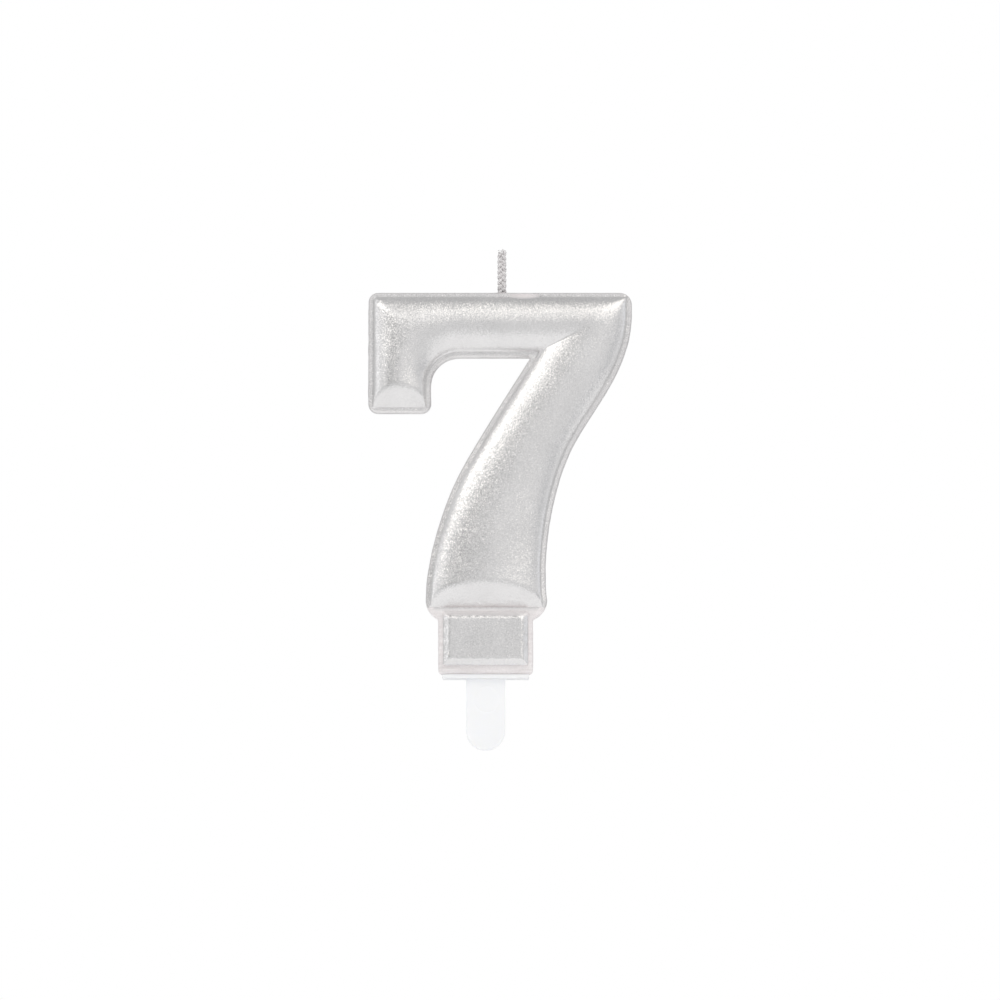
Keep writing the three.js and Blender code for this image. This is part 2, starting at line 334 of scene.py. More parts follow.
def stem_sides():
    """The stem's two edges as long lines, from above the numeral down past its bottom."""
    (x0, z0), (x1, z1) = STEM_LEFT[0][:2]
    lean = (x0 - x1) / (z0 - z1)
    above = TOP + 6
    left = np.vstack([[(x0 + lean * (above - z0), above)], cubic(STEM_LEFT[0]), cubic(STEM_LEFT[1]),
                      [(STEM_LEFT[1][3][0], FOOT_BOTTOM)]])
    right = np.vstack([[(RIGHT, above)], cubic(STEM_RIGHT[0]), cubic(STEM_RIGHT[1]),
                       [(STEM_RIGHT[1][3][0], FOOT_BOTTOM)]])
    return resample(left, OUTLINE_STEP, closed=False), resample(right, OUTLINE_STEP, closed=False)


def side_distances(points):
    """Signed distances into the stem from its left and its right edge."""
    left, right = stem_sides()
    x, z = points.T
    edge_left = np.interp(z, left[::-1, 1], left[::-1, 0])
    edge_right = np.interp(z, right[::-1, 1], right[::-1, 0])
    from_left = line_distance(points, left) * np.sign(x - edge_left)
    from_right = line_distance(points, right) * np.sign(edge_right - x)
    return from_left, from_right


def rounded_corner(a, b, radius):
    """Distance into a corner of that radius, from the distances to its two straight edges."""
    curved = radius - np.hypot(radius - a, radius - b)
    return np.where((a < radius) & (b < radius), curved, np.minimum(a, b))


def arch(share):
    """Height across a stroke: 0 at the foot of its wall, the full crown on its middle line."""
    return CROWN_FILL * CROWN * (1 - (1 - np.clip(share, 0, 1)) ** ARCH_POWER) ** ARCH_ROOT


def end_slope(distance, facet):
    """Height up a stroke's plain bevelled end."""
    step, slope = facet
    distance = np.maximum(distance, 0)
    return step * (1 - np.exp(-distance / STEP_RUN)) + slope * distance


def across(first, second):
    """Share of the way from a stroke's nearer edge to its middle line."""
    return np.minimum(first, second) / np.maximum((first + second) / 2, 1e-6)


def bar_relief(points, from_right):
    """Height of the bar with the serif, -1 outside them."""
    x, z = points.T
    from_left = x - LEFT
    from_top = TOP - z
    outer = rounded_corner(from_left, from_top, CORNER)
    soft = smooth_min(from_left, from_top, CORNER_HIP)
    outer = np.where((from_left > CORNER) & (from_top > CORNER), np.minimum(outer, soft), outer)
    bend_x = SERIF_RIGHT + INNER_ARC
    bend_z = BAR_BOTTOM - INNER_ARC
    inner = np.hypot(np.maximum(bend_x - x, 0), np.maximum(z - bend_z, 0)) - INNER_ARC
    height = arch(across(outer - LEDGE, inner - LEDGE))
    height = smooth_min(height, end_slope(z - SERIF_BOTTOM - LEDGE, SERIF_FACET), FACET_BLEND)
    height = smooth_min(height, arch((from_right - LEDGE) / TOP_RUN), HIP)
    outside = (outer < LEDGE) | (inner < LEDGE) | (z < SERIF_BOTTOM + LEDGE) | (from_right < LEDGE)
    return np.where(outside, -1, height)


def stem_relief(points, from_left, from_right):
    """Height of the stem, -1 outside it."""
    z = points[:, 1]
    height = arch(across(from_left - LEDGE, from_right - LEDGE))
    height = smooth_min(height, arch((TOP - z - LEDGE) / TOP_RUN), HIP)
    height = smooth_min(height, end_slope(z - STEM_BOTTOM - LEDGE, STEM_FACET), FACET_BLEND)
    outside = (from_left < LEDGE) | (from_right < LEDGE) | (z < STEM_BOTTOM + LEDGE)
    return np.where(outside | (TOP - z < LEDGE), -1, height)


def foot_relief(points):
    """Height of the foot's raised face, -1 outside it."""
    x, z = points.T
    side = FOOT_HALF_WIDTH - LEDGE - np.abs(x)
    low = z - FOOT_BOTTOM - FOOT_LEDGE
    high = FOOT_FACE_TOP - z
    edge = np.minimum(smooth_min(side, low, FOOT_ROUNDING), smooth_min(side, high, FOOT_ROUNDING))
    within = np.maximum(edge, 0)
    wavelength, size = FOOT_WAVE
    wander = size * waves(points, wavelength, 77) * np.clip(within / FOOT_WAVE_RUN, 0, 1)
    rise = FOOT_WALL * (1 - np.exp(-within / FOOT_WALL_RUN)) + within * FOOT_BEVEL + wander
    height = smooth_min(rise, np.full(len(points), FOOT_RISE), FOOT_ROUNDING)
    return np.where(edge < 0, -1, height)


def unevenness(points, seed):
    """Hand-finished wax: slow waves, and small nibs and pits in the lacquer."""
    wander = SLOW_WAVE[1] * waves(points, SLOW_WAVE[0], seed)
    wander += QUICK_WAVE[1] * waves(points, QUICK_WAVE[0], seed + 1)
    random = np.random.default_rng(seed + 2)
    for _ in range(NIB_COUNT):
        centre = random.uniform((LEFT, FOOT_BOTTOM), (RIGHT, TOP))
        size = random.uniform(*NIB_SIZES)
        height = random.choice(NIB_HEIGHTS)
        wander += height * np.exp(-((points - centre) ** 2).sum(1) / size ** 2)
    return wander


def trim_mark(points):
    """1 in the middle of the trimmed-off sprue's mark, 0 outside it."""
    return np.clip(1 - (((points - TRIM_CENTRE) / TRIM_HALF_SIZE) ** 2).sum(1), 0, 1)


def relief(points, edge_distance, seed):
    """Height of the face above the flange's plane."""
    from_left, from_right = side_distances(points)
    drop = np.interp(points[:, 1], (FOOT_BOTTOM + 0.5, FOOT_BOTTOM + 1), (PLATE_EDGE_DROP, EDGE_DROP))
    draft = LEDGE_DRAFT * np.clip((SERIF_BOTTOM - points[:, 1]) / DRAFT_FADE, 0, 1)
    ledge = -drop * np.clip(1 - edge_distance / EDGE_RUN, 0, 1)
    ledge -= draft * np.maximum(LEDGE - edge_distance, 0)
    ledge += LEDGE_WAVE[1] * waves(points, LEDGE_WAVE[0], seed + 5)
    bar = bar_relief(points, from_right)
    stem = stem_relief(points, from_left, from_right)
    strokes = smooth_max(bar, stem, CREASE)
    body = np.maximum(strokes, foot_relief(points))
    lift = unevenness(points, seed) * np.clip(edge_distance, 0, 1)
    height = np.maximum(ledge, body) - TRIM_DEPTH * np.sqrt(trim_mark(points))
    return np.where(body > 0.2, np.minimum(height + lift, CROWN - 0.01), height)


# ---- Meshes --------------------------------------------------------------------------------------

def linked(name, data):
    """A new object in the scene."""
    piece = bpy.data.objects.new(name, data)
    bpy.context.scene.collection.objects.link(piece)
    return piece


def solid(name, bm):
    """A new object in the scene from a finished bmesh."""
    mesh = bpy.data.meshes.new(name)
    bm.to_mesh(mesh)
    bm.free()
    return linked(name, mesh)


def box_bmesh(size, centre):
    """A box, its size and centre given in millimetres."""
    bm = bmesh.new()
    bmesh.ops.create_cube(bm, size=1)
    bmesh.ops.scale(bm, vec=Vector(size) * MM, verts=bm.verts)
    bmesh.ops.translate(bm, vec=Vector(centre) * MM, verts=bm.verts)
    return bm


def new_object(name, vertices, faces, material):
    """A piece from vertices in millimetres, with its normals outwards."""
    mesh = bpy.data.meshes.new(name)
    mesh.from_pydata([tuple(v) for v in np.asarray(vertices) * MM], [], faces)
    mesh.validate()
    mesh.materials.append(material)
    piece = linked(name, mesh)
    bm = bmesh.new()
    bm.from_mesh(mesh)
    bmesh.ops.recalc_face_normals(bm, faces=bm.faces)
    bm.to_mesh(mesh)
    bm.free()
    return piece


def shade(piece, angle):
    """Smooth shading, with edges sharper than the angle left crisp."""
    piece.data.shade_smooth()
    piece.data.set_sharp_from_angle(angle=math.radians(angle))


def hex_grid(low, high, step):
    """Points of a triangular grid over a rectangle."""
    rows = np.arange(low[1], high[1], step * math.sqrt(3) / 2)
    columns = np.arange(low[0], high[0], step)
    x, z = np.meshgrid(columns, rows)
    x = x + (np.arange(len(rows)) % 2)[:, None] * step / 2
    return np.stack([x.ravel(), z.ravel()], 1)


def triangulate(boundary, rows, free_points):
    """Triangles over a closed outline, with lines to follow and loose points. The outline's own
    points come first, in order."""
    stacked = np.vstack([boundary, *rows, free_points])
    count = len(boundary)
    edges = [(i, (i + 1) % count) for i in range(count)]
    for row in rows:
        edges += [(count + i, count + i + 1) for i in range(len(row) - 1)]
        count += len(row)
    result = delaunay_2d_cdt([Vector(p) for p in stacked], edges, [], 0, 1e-7, True)
    found, _, triangles, origins = result[:4]
    found = np.array([tuple(v) for v in found])
    kept = inside(found[np.array(triangles)].mean(1), boundary)
    triangles = [triangle for triangle, keep in zip(triangles, kept) if keep]
    place = {}
    for new, olds in enumerate(origins):
        for old in olds:
            place[old] = new
    order = [place[i] for i in range(len(boundary))]
    outline_sides = {tuple(sorted(pair)) for pair in zip(order, order[1:] + order[:1])}
    return found, peeled(triangles, outline_sides), order


def sides_of(triangle):
    """The three sides of a triangle, each as a pair in rising order."""
    a, b, c = sorted(triangle)
    return {(a, b), (a, c), (b, c)}


def peeled(triangles, outline_sides):
    """Drops the slivers left outside the outline along its straight stretches."""
    while True:
        uses = Counter(side for triangle in triangles for side in sides_of(triangle))
        stray = {side for side, count in uses.items() if count == 1} - outline_sides
        if not stray:
            return triangles
        triangles = [triangle for triangle in triangles if not stray & sides_of(triangle)]


def runs(points, keep):
    """The stretches of a line whose points are kept."""
    starts = np.flatnonzero(np.diff(keep.astype(int))) + 1
    stretches = zip(np.split(points, starts), np.split(keep, starts))
    return [stretch for stretch, kept in stretches if kept[0] and len(stretch) > 1]


def closed_ring(loop, depth):
    """A closed line inside a loop, ending on its first point."""
    ring = inset(loop, depth)
    return np.vstack([ring, ring[:1]])


def foot_ring(depth):
    """A rectangle inside the foot's raised face."""
    side = FOOT_HALF_WIDTH - LEDGE - depth
    low = FOOT_BOTTOM + FOOT_LEDGE + depth
    high = FOOT_FACE_TOP - depth
    ring = resample(np.array([(-side, low), (-side, high), (side, high), (side, low)]), OUTLINE_STEP)
    return np.vstack([ring, ring[:1]])


def numeral_plan(outline):
    """The plan's triangles: close rows along the edge and up the walls, an even grid elsewhere."""
    rows = [closed_ring(outline, depth) for depth in EDGE_ROWS]
    inner_corner = np.array(STEM_LEFT[0][0])
    for depth in WALL_ROWS:
        ring = closed_ring(outline, LEDGE - SEAM + depth)
        clear = (ring[:, 1] > STEM_BOTTOM + 2) & (np.linalg.norm(ring - inner_corner, axis=1) > WALL_ROW_GAP)
        rows += runs(ring, clear)
    x = np.arange(-FOOT_HALF_WIDTH + 0.5, FOOT_HALF_WIDTH - 0.5, OUTLINE_STEP)
    for depth in FACET_ROWS:
        rows.append(np.stack([x, np.full(len(x), STEM_BOTTOM + LEDGE + depth)], 1))
    rows += [foot_ring(depth) for depth in FOOT_ROWS]
    grid = hex_grid((LEFT, FOOT_BOTTOM), (RIGHT, TOP), GRID)
    foot_side = FOOT_HALF_WIDTH - LEDGE
    fine = [hex_grid(low, high, FINE_GRID) for low, high in (
        ((8, BAR_BOTTOM), (21, BAR_BOTTOM + 7.5)),                                          # crease
        ((LEFT + LEDGE, SERIF_BOTTOM + LEDGE), (SERIF_RIGHT - LEDGE, SERIF_BOTTOM + 6.5)),
        ((-11, STEM_BOTTOM + LEDGE), (11.4, STEM_BOTTOM + 6)),
        ((-foot_side, FOOT_BOTTOM + FOOT_LEDGE), (foot_side, STEM_BOTTOM)),
    )]
    for patch in fine:
        low, high = patch.min(0) - GRID / 2, patch.max(0) + GRID / 2
        grid = grid[~((grid > low) & (grid < high)).all(1)]
    grid = np.vstack([grid, *fine])
    grid = grid[inside(grid, inset(outline, EDGE_ROWS[-1] + 0.05))]
    grid = grid[nearest_gap(grid, np.vstack(rows)) > ROW_CLEARANCE]
    return triangulate(outline, rows, grid)


def nearest_gap(points, others):
    """Distance from each point to the nearest of the others."""
    tree = KDTree(len(others))
    for index, (x, z) in enumerate(others):
        tree.insert((x, z, 0), index)
    tree.balance()
    return np.array([tree.find((x, z, 0))[2] for x, z in points])


def mirrored_faces(plan, triangles, heights):
    """Vertices and triangles of a front at -Y and a back at +Y over one plan."""
    vertices, faces = [], []
    for side, height in zip((-1, 1), heights):
        first = len(vertices)
        vertices += [(x, side * y, z) for (x, z), y in zip(plan, height)]
        faces += [tuple(first + i for i in triangle) for triangle in triangles]
    return vertices, faces


def walls(loops):
    """Quads between closed loops of vertices, each with as many as the next."""
    faces = []
    for near, far in zip(loops, loops[1:]):
        for i in range(len(near)):
            j = (i + 1) % len(near)
            faces.append((near[i], near[j], far[j], far[i]))
    return faces


def numeral_piece(material):
    """The wax numeral: two crowned faces, the flange's edge with its seam, and the pick's slot."""
    outline = resample(inset(resample(numeral_outline(), OUTLINE_STEP), SEAM), OUTLINE_STEP)
    plan, triangles, order = numeral_plan(outline)
    edge_distance = line_distance(plan, outline, closed=True)
    edge_distance[order] = 0
    heights = [FLANGE_HALF + relief(plan, edge_distance, seed) for seed in (3, 40)]
    vertices, faces = mirrored_faces(plan, triangles, heights)
    rim_half = heights[1][order]
    around = len(outline)
    fin = SEAM * np.clip(0.55 + 0.4 * waves(outline, 4, 9), 0.1, 1)
    loops = [order]
    outward = -inward_normals(outline)
    for share, ridge in RIM_RINGS:
        ring = outline + outward * (fin * ridge)[:, None]
        loops.append(list(range(len(vertices), len(vertices) + around)))
        vertices += [(x, share * half, z) for (x, z), half in zip(ring, rim_half)]
    loops.append([len(plan) + i for i in order])
    faces += walls(loops)
    vertices = np.array(vertices)
    x, y, z = vertices.T
    near_wick = np.exp(-((x - WICK_CENTRE) ** 2 + y ** 2) / MOUND_RADIUS ** 2)
    vertices[:, 2] += MOUND_HEIGHT * near_wick * np.clip((z - TOP) / MOUND_RADIUS + 1, 0, 1)
    piece = new_object("wax_numeral_body", vertices, faces, material)
    cut_slot(piece)
    add_rim_attribute(piece, outline)
    shade(piece, 40)
    return piece


def cut_slot(piece):
    """Cuts the blind slot for the pick's tongue up into the foot."""
    half_width = TONGUE_HALF + BARB + SLOT_GAP
    half_depth = PICK_HALF + SLOT_GAP
    top = PICK_HIGH[2] + SLOT_GAP
    below = 1
    bm = box_bmesh((2 * half_width, 2 * half_depth, top + below), (0, 0, (top - below) / 2))
    apply_boolean(piece, solid("slot", bm), "DIFFERENCE")


def apply_boolean(piece, tool, operation):
    """Cuts the tool from a piece or joins it to it, and removes the tool."""
    modifier = piece.modifiers.new("cut", "BOOLEAN")
    modifier.object = tool
    modifier.operation = operation
    modifier.solver = "EXACT"
    bpy.context.view_layer.update()
    evaluated = piece.evaluated_get(bpy.context.evaluated_depsgraph_get())
    piece.data = bpy.data.meshes.new_from_object(evaluated)
    piece.modifiers.clear()
    bpy.data.objects.remove(tool)


def fading(distance, full, width):
    """1 up to a distance, fading to 0 over a width beyond it."""
    return np.clip(1 - (distance - full) / width, 0, 1)


def add_rim_attribute(piece, outline):
    """Marks how thin the lacquer is: most at the flange's edge and under the foot."""
    count = len(piece.data.vertices)
    co = np.empty(count * 3)
    piece.data.vertices.foreach_get("co", co)
    co = co.reshape(-1, 3) / MM
    plan = co[:, [0, 2]]
    depth = np.abs(co[:, 1])
    distance = line_distance(plan, outline, closed=True)
    on_flange = depth < FLANGE_HALF + THIN_FRONT
    on_foot = plan[:, 1] < STEM_BOTTOM + LEDGE
    edge = THIN_EDGE_SHARE * fading(distance, THIN_EDGE, THIN_FADE)
    rim = np.where(on_foot, fading(distance, LEDGE, THIN_FADE), edge) * on_flange
    foot_top = np.sqrt(fading(np.abs(plan[:, 1] - STEM_BOTTOM), 0, THIN_FOOT_TOP))
    foot_bottom = fading(plan[:, 1], FOOT_BOTTOM + FOOT_LEDGE, THIN_FADE)
    trimmed = (co[:, 1] < 0) * np.sqrt(trim_mark(plan))
    rim = np.maximum.reduce([rim, foot_top, foot_bottom, trimmed])
    layer = piece.data.attributes.new("rim", "FLOAT", "POINT")
    layer.data.foreach_set("value", rim.astype(np.float32))


# ---- Pick ------------------------------------------------------------------------------------------

def pick_outline():
    """Blade, shoulders hidden in the plate, and barbed tongue, clockwise from the tongue's top left."""
    tongue_top = PICK_HIGH[2]
    blade_low = PICK_LOW[2]
    right = [(TONGUE_HALF / 2, tongue_top), (TONGUE_HALF, tongue_top - TONGUE_HALF / 2)]
    for barb in reversed(range(BARB_COUNT)):
        z = FIRST_BARB + barb * BARB_PITCH
        right += [(TONGUE_HALF, z + BARB_PITCH / 2), (TONGUE_HALF + BARB, z + 0.1),
                  (TONGUE_HALF + BARB, z), (TONGUE_HALF, z - 0.05)]
    middle = PLATE_TOP / 2
    right += [(TONGUE_HALF, middle), (BLADE_HALF, middle)]
    angle = np.linspace(0, -math.pi, 41)
    end = np.stack([BLADE_HALF * np.cos(angle), blade_low + BLADE_END + BLADE_END * np.sin(angle)], 1)
    right = np.array(right)
    left = right[::-1] * (-1, 1)
    return np.vstack([right, end, left])


def pick_piece(material):
    """The moulded pick: tongue and blade with rounded edges, and the plate joined to them."""
    outline = resample(pick_outline(), PICK_STEP)
    rows = [closed_ring(outline, depth) for depth in PICK_ROWS]
    rows += [arc(EJECTOR_CENTRE, EJECTOR_RADIUS + offset, 0, 4, 72) for offset in EJECTOR_ROWS]
    grid = hex_grid(PICK_LOW[[0, 2]], PICK_HIGH[[0, 2]], PICK_GRID)
    grid = grid[inside(grid, inset(outline, PICK_BEVEL + 0.1))]
    grid = grid[nearest_gap(grid, np.vstack(rows)) > PICK_ROW_CLEARANCE]
    plan, triangles, order = triangulate(outline, rows, grid)
    distance = line_distance(plan, outline, closed=True)
    distance[order] = 0
    fall = np.clip(1 - distance / PICK_BEVEL, 0, 1)
    face = PICK_HALF - PICK_BEVEL * (1 - np.sqrt(np.maximum(1 - fall ** 2, 0)))
    away = np.linalg.norm(plan - EJECTOR_CENTRE, axis=1) - EJECTOR_RADIUS
    groove_width, groove_depth = EJECTOR_GROOVE
    mark = groove_depth * np.exp(-(away / groove_width) ** 2) + EJECTOR_SINK * (away < 0)
    heights = []
    for height, seed in ((face - mark, 69), (face, 71)):
        height = np.minimum(height + PICK_WAVE[1] * waves(plan, PICK_WAVE[0], seed), PICK_HALF)
        height[order] = PICK_HALF - PICK_BEVEL
        heights.append(height)
    vertices, faces = mirrored_faces(plan, triangles, heights)
    faces += walls([order, [len(plan) + i for i in order]])
    piece = new_object("white_pick", vertices, faces, material)
    apply_boolean(piece, plate_solid(), "UNION")
    shade(piece, 35)
    return piece


def plate_solid():
    """The narrow plate under the foot, with rounded ends and edges."""
    bm = box_bmesh((2 * PLATE_HALF, 2 * PLATE_HALF_DEPTH, PLATE_TOP), (0, 0, PLATE_TOP / 2))

    def spans(edge, axis):
        """Whether an edge reaches along an axis."""
        return abs(edge.verts[0].co[axis] - edge.verts[1].co[axis]) > 1e-6

    def round_off(edges, offset, segments):
        """Rounds edges; the offset is in millimetres."""
        bmesh.ops.bevel(bm, geom=edges, offset=offset * MM, segments=segments, affect="EDGES", profile=0.5)

    low_ends = [e for e in bm.edges if max(v.co.z for v in e.verts) < 1e-6 and not spans(e, 0)]
    round_off(low_ends, PLATE_END_ROUND, 5)
    round_off([e for e in bm.edges if spans(e, 2) and not spans(e, 0)], PLATE_CORNER, 6)
    rims = [e for e in bm.edges if not spans(e, 2) and len(e.link_faces) == 2 and e.calc_face_angle(0) > 0.5]
    round_off(rims, PLATE_EDGE, 3)
    return solid("plate", bm)


# ---- Wick ------------------------------------------------------------------------------------------

def tube(path, radii, sides=8):
    """Vertices and faces of a closed tube along a path, in millimetres."""
    path = np.asarray(path, float)
    along = np.gradient(path, axis=0)
    along /= np.linalg.norm(along, axis=1)[:, None]
    reference = np.array([0, 1, 0.2])
    first = np.cross(along, reference)
    first /= np.linalg.norm(first, axis=1)[:, None]
    second = np.cross(along, first)
    angle = np.arange(sides) * 2 * math.pi / sides
    vertices = []
    for centre, a, b, radius in zip(path, first, second, radii):
        vertices += [centre + radius * (math.cos(t) * a + math.sin(t) * b) for t in angle]
    faces = []
    for ring in range(len(path) - 1):
        for i in range(sides):
            j = (i + 1) % sides
            base, above = ring * sides, (ring + 1) * sides
            faces.append((base + i, base + j, above + j, above + i))
    faces.append(tuple(range(sides))[::-1])
    last = (len(path) - 1) * sides
    faces.append(tuple(range(last, last + sides)))
    return vertices, faces


def wick_piece(material):
    """The plait of three strands, with its frayed end, stray hairs and glitter."""
    random = np.random.default_rng(12)
    low = TOP - WICK_ROOT
    vertices, faces = [], []

    def add(part):
        """Adds a part's own vertices and faces to the piece's."""
        first = len(vertices)
        vertices.extend(part[0])
        faces.extend(tuple(first + i for i in face) for face in part[1])

    for strand, top in enumerate(STRAND_TOPS):
        z = np.linspace(low, top, 70)
        phase = 2 * math.pi * ((z - low) / PLAIT_PITCH + strand / 3)
        x = WICK_CENTRE + PLAIT_HALF_WIDTH * np.sin(phase)
        y = PLAIT_HALF_DEPTH * np.sin(2 * phase)
        for yarn in range(YARNS):
            turn = 2 * math.pi * (yarn / YARNS + (z - low) / YARN_PITCH) + strand
            frayed = np.clip(1 - (top - z) / FRAY, 0, 1) ** 2
            drift = random.normal(size=2) * 0.22
            path = np.stack([x + YARN_SPREAD * np.cos(turn) + drift[0] * frayed,
                             y + YARN_SPREAD * np.sin(turn) + drift[1] * frayed, z], 1)
            radius = YARN_RADIUS * (1 - 0.45 * frayed) * (1 + 0.08 * random.normal(size=len(z)))
            keep = len(z) - random.integers(0, 6)
            add(tube(path[:keep], radius[:keep], 7))
    for _ in range(HAIRS):
        z = random.uniform(TOP, WICK_TOP - 0.3)
        angle = random.uniform(0, 2 * math.pi)
        start = np.array([WICK_CENTRE + 0.65 * math.cos(angle), 0.5 * math.sin(angle), z])
        way = np.array([math.cos(angle), math.sin(angle), random.uniform(-0.6, 0.9)])
        way /= np.linalg.norm(way)
        curl = random.normal(size=3) * 0.5
        steps = np.linspace(0, 1, 5)[:, None]     # along the hair
        reach = random.uniform(0.22, 0.5)
        path = start + way * reach * steps + curl * (reach * steps) ** 2
        path[:, 2] = np.minimum(path[:, 2], WICK_TOP - 0.02)
        add(tube(path, np.linspace(*HAIR_RADII, len(path)), 4))
    for _ in range(GRAINS):
        z = random.uniform(TOP - 0.1, WICK_TOP - 0.25)
        angle = random.uniform(0, 2 * math.pi)
        reach = random.uniform(0.6, 0.86)
        centre = np.array([WICK_CENTRE + reach * math.cos(angle), 0.8 * reach * math.sin(angle), z])
        add(flake(centre, random))
    piece = new_object("braided_wick", vertices, faces, material)
    shade(piece, 60)
    return piece


def flake(centre, random):
    """One flat grain of glitter, a thin six-sided plate."""
    turn = Matrix.Rotation(random.uniform(0, 2 * math.pi), 3, Vector(random.normal(size=3)))
    radius = random.uniform(0.05, 0.1)
    vertices = []
    for level in (-GRAIN_HALF_THICKNESS, GRAIN_HALF_THICKNESS):
        for i in range(6):
            corner = Vector((radius * math.cos(i * math.pi / 3), radius * math.sin(i * math.pi / 3), level))
            vertices.append(centre + np.array(turn @ corner))
    faces = [(5, 4, 3, 2, 1, 0), (6, 7, 8, 9, 10, 11)]
    faces += [(i, (i + 1) % 6, 6 + (i + 1) % 6, 6 + i) for i in range(6)]
    return vertices, faces


# ---- Materials ---------------------------------------------------------------------------------------

class Nodes:
    """A short way to write a node tree."""

    def __init__(self, tree):
        """Starts from an empty tree."""
        self.tree = tree
        self.tree.nodes.clear()

    def add(self, kind, inputs=None, **settings):
        """A node with its settings, its inputs linked to sockets or set to values."""
        node = self.tree.nodes.new(kind)
        for name, value in settings.items():
            setattr(node, name, value)
        for name, value in (inputs or {}).items():
            self.feed(node, name, value)
        return node

    def feed(self, node, name, value):
        """Links a socket to one of a node's inputs, or sets the input to a plain value."""
        if isinstance(value, bpy.types.NodeSocket):
            self.tree.links.new(value, node.inputs[name])
        else:
            node.inputs[name].default_value = value

    def ramp(self, factor, stops):
        """A colour ramp; each stop is a place and a colour."""
        node = self.add("ShaderNodeValToRGB", {"Fac": factor})
        elements = node.color_ramp.elements
        while len(elements) < len(stops):
            elements.new(0.5)
        for element, (place, colour) in zip(elements, stops):
            element.position = place
            element.color = (*colour, 1)
        return node.outputs["Color"]

    def mix(self, factor, a, b, mode="MIX"):
        """The mix of two colours, each a socket or three numbers."""
        node = self.add("ShaderNodeMix", {0: factor}, data_type="RGBA", blend_type=mode)
        for index, colour in ((6, a), (7, b)):
            self.feed(node, index, (*colour, 1) if isinstance(colour, tuple) else colour)
        return node.outputs[2]

    def math(self, operation, a, b=0.0):
        """A sum, product or the like of two numbers or sockets."""
        return self.add("ShaderNodeMath", {0: a, 1: b}, operation=operation).outputs[0]

    def vector(self, operation, a, b=None, scale=None):
        """The same for vectors, with a second vector or a scale where the operation takes one."""
        given = {name: value for name, value in ((0, a), (1, b), ("Scale", scale)) if value is not None}
        return self.add("ShaderNodeVectorMath", given, operation=operation).outputs[0]


def new_material(name):
    """A material with an empty node tree."""
    material = bpy.data.materials.new(name)
    material.use_nodes = True
    return material, Nodes(material.node_tree)


def flakes(nodes, position):
    """Metal flakes in lacquer: how each one is tipped, most of them a little and a few a lot, and
    two more random numbers for its tone and gloss."""
    cells = nodes.add("ShaderNodeTexVoronoi", {"Vector": position, "Scale": 1 / (FLAKE * MM)})
    more = nodes.add("ShaderNodeTexWhiteNoise", {"Vector": cells.outputs["Position"]}).outputs["Color"]
    more = nodes.add("ShaderNodeSeparateColor", {"Color": more}).outputs
    tipped = nodes.vector("SUBTRACT", cells.outputs["Color"], (0.5, 0.5, 0.5))
    amount = nodes.math("MULTIPLY", nodes.math("POWER", more[0], 3.0), WILD_TILT)
    tilt = nodes.vector("SCALE", tipped, scale=nodes.math("ADD", amount, CALM_TILT))
    return tilt, more[1], more[2]


def silver_lacquer():
    """Silver flakes in clear lacquer, thin and pinkish where the rim attribute is high."""
    material, nodes = new_material("silver_lacquer")
    position = nodes.add("ShaderNodeTexCoord").outputs["Object"]
    rim = nodes.add("ShaderNodeAttribute", attribute_name="rim").outputs["Fac"]

    cloud = nodes.add("ShaderNodeTexNoise", {"Vector": position, "Scale": 160, "Detail": 3}).outputs["Fac"]
    tone = nodes.ramp(cloud, [(0.3, (0.805, 0.797, 0.80)), (0.7, (0.862, 0.853, 0.856))])
    streaks = nodes.add("ShaderNodeMapping", {"Vector": position, "Scale": (220, 900, 2200)}).outputs[0]
    streak = nodes.add("ShaderNodeTexNoise", {"Vector": streaks, "Scale": 1, "Detail": 4}).outputs["Fac"]
    thin = nodes.ramp(streak, [(0.35, (0.84, 0.79, 0.79)), (0.65, (0.95, 0.91, 0.91))])
    colour = nodes.mix(nodes.math("MULTIPLY", rim, 0.75), tone, thin)

    tilt, tone_of_flake, gloss_of_flake = flakes(nodes, position)
    grain = nodes.ramp(tone_of_flake, [(0.0, (0.92, 0.92, 0.92)), (1.0, (1.08, 1.08, 1.08))])
    colour = nodes.mix(1.0, colour, grain, "MULTIPLY")
    calm = nodes.math("SUBTRACT", 1.0, nodes.math("MULTIPLY", rim, 0.8))
    geometry = nodes.add("ShaderNodeNewGeometry").outputs["Normal"]
    tipped = nodes.vector("ADD", geometry, nodes.vector("SCALE", tilt, scale=calm))
    normal = nodes.vector("NORMALIZE", tipped)
    skin = nodes.add("ShaderNodeTexNoise", {"Vector": position, "Scale": 9000, "Detail": 2}).outputs["Fac"]
    bump = nodes.add("ShaderNodeBump", {
        "Height": skin, "Normal": normal, "Strength": 0.4, "Distance": 0.000006})

    roughness = nodes.math("ADD", nodes.math("MULTIPLY", gloss_of_flake, 0.12), 0.155)
    roughness = nodes.math("ADD", roughness, nodes.math("MULTIPLY", rim, 0.25))
    metallic = nodes.math("SUBTRACT", 1.0, nodes.math("MULTIPLY", rim, THIN_LACQUER))
    shader = nodes.add("ShaderNodeBsdfPrincipled", {
        "Base Color": colour, "Metallic": metallic, "Roughness": roughness, "Normal": bump.outputs[0]})
    nodes.add("ShaderNodeOutputMaterial", {"Surface": shader.outputs[0]})
    return material


